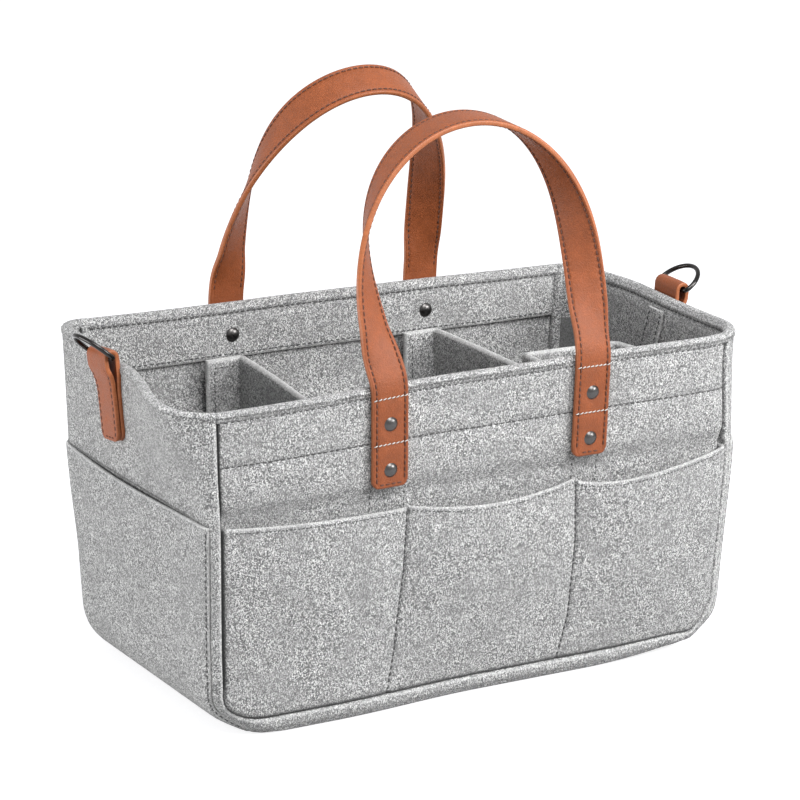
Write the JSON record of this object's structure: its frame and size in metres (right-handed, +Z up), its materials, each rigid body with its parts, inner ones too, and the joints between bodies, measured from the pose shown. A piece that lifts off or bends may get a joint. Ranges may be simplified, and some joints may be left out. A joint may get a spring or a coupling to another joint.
{
  "type": "nursery organizer",
  "caption": "Rectangular felt caddy with outside pockets, lift-out inner dividers, riveted leather carry handles that swing outwards, and a metal ring in a leather tab at each end.",
  "frame": {"origin": "middle of the underside, on the surface it stands on", "axes": "+Z up; +X along the long side, towards the end with the small cross divider; the side facing the viewer of the picture faces -Y"},
  "size_m": [0.421, 0.2162, 0.3581],
  "materials": {
    "felt": "pressed heather-grey felt, matt, with darker fibres",
    "board_felt": "stiff grey felt board, matt",
    "fastening_tape": "grey hook-and-loop tape",
    "leather": "cognac smooth leather, fine grain, satin, lighter cut edges",
    "gunmetal": "dark gunmetal plating, polished"
  },
  "bodies": {
    "caddy": {"end_and_bottom_band": "felt", "front_panel": "felt", "back_panel": "felt", "rim_facing": "felt", "front_pockets": "felt", "back_pockets": "felt", "left_end_pocket": "felt", "right_end_pocket": "felt", "base_board": "board_felt", "loop_strip_front_left": "fastening_tape", "handle_front_leg_left": "leather", "rivet_front_left_upper": "gunmetal", "rivet_front_left_upper_inner_cap": "gunmetal", "rivet_front_left_lower": "gunmetal", "rivet_front_left_lower_inner_cap": "gunmetal", "loop_strip_front_right": "fastening_tape", "handle_front_leg_right": "leather", "rivet_front_right_upper": "gunmetal", "rivet_front_right_upper_inner_cap": "gunmetal", "rivet_front_right_lower": "gunmetal", "rivet_front_right_lower_inner_cap": "gunmetal", "loop_strip_back_left": "fastening_tape", "handle_back_leg_left": "leather", "rivet_back_left_upper": "gunmetal", "rivet_back_left_upper_inner_cap": "gunmetal", "rivet_back_left_lower": "gunmetal", "rivet_back_left_lower_inner_cap": "gunmetal", "loop_strip_back_right": "fastening_tape", "handle_back_leg_right": "leather", "rivet_back_right_upper": "gunmetal", "rivet_back_right_upper_inner_cap": "gunmetal", "rivet_back_right_lower": "gunmetal", "rivet_back_right_lower_inner_cap": "gunmetal", "ring_tab_left": "leather", "ring_tab_right": "leather"},
    "front_handle": {"handle_front_arch": "leather"},
    "back_handle": {"handle_back_arch": "leather"},
    "left_ring": {"ring_left": "gunmetal"},
    "right_ring": {"ring_right": "gunmetal"},
    "left_divider": {"divider_left": "felt", "divider_left_hook_back": "fastening_tape", "divider_left_hook_front": "fastening_tape"},
    "right_divider": {"divider_right": "felt", "divider_right_hook_back": "fastening_tape", "divider_right_hook_front": "fastening_tape"},
    "cross_divider": {"divider_cross": "felt"}
  },
  "joints": [
    {"name": "front_handle_swing", "type": "hinge", "parent": "caddy", "child": "front_handle", "pos_m": [0, -0.1042, 0.206], "axis": [1, 0, 0], "range_deg": [-8, 108], "stiffness_Nm_per_rad": 0.4, "springref_deg": 1.15},
    {"name": "back_handle_swing", "type": "hinge", "parent": "caddy", "child": "back_handle", "pos_m": [0, 0.1042, 0.206], "axis": [-1, 0, 0], "range_deg": [-8, 108], "stiffness_Nm_per_rad": 0.4, "springref_deg": 1.49},
    {"name": "left_ring_swing", "type": "hinge", "parent": "caddy", "child": "left_ring", "pos_m": [-0.19543, 0.01928, 0.20688], "axis": [-0.0054, -0.9925, 0.1218], "range_deg": [-60, 120]},
    {"name": "right_ring_swing", "type": "hinge", "parent": "caddy", "child": "right_ring", "pos_m": [0.19545, 0, 0.20726], "axis": [0, 1, 0], "range_deg": [-72, 108]},
    {"name": "left_divider_lift", "type": "slide", "parent": "caddy", "child": "left_divider", "axis": [0, 0, 1], "range_m": [0, 0.045]},
    {"name": "right_divider_lift", "type": "slide", "parent": "caddy", "child": "right_divider", "axis": [0, 0, 1], "range_m": [0, 0.045]},
    {"name": "cross_divider_lift", "type": "slide", "parent": "caddy", "child": "cross_divider", "axis": [0, 0, 1], "range_m": [0, 0.2]}
  ]
}
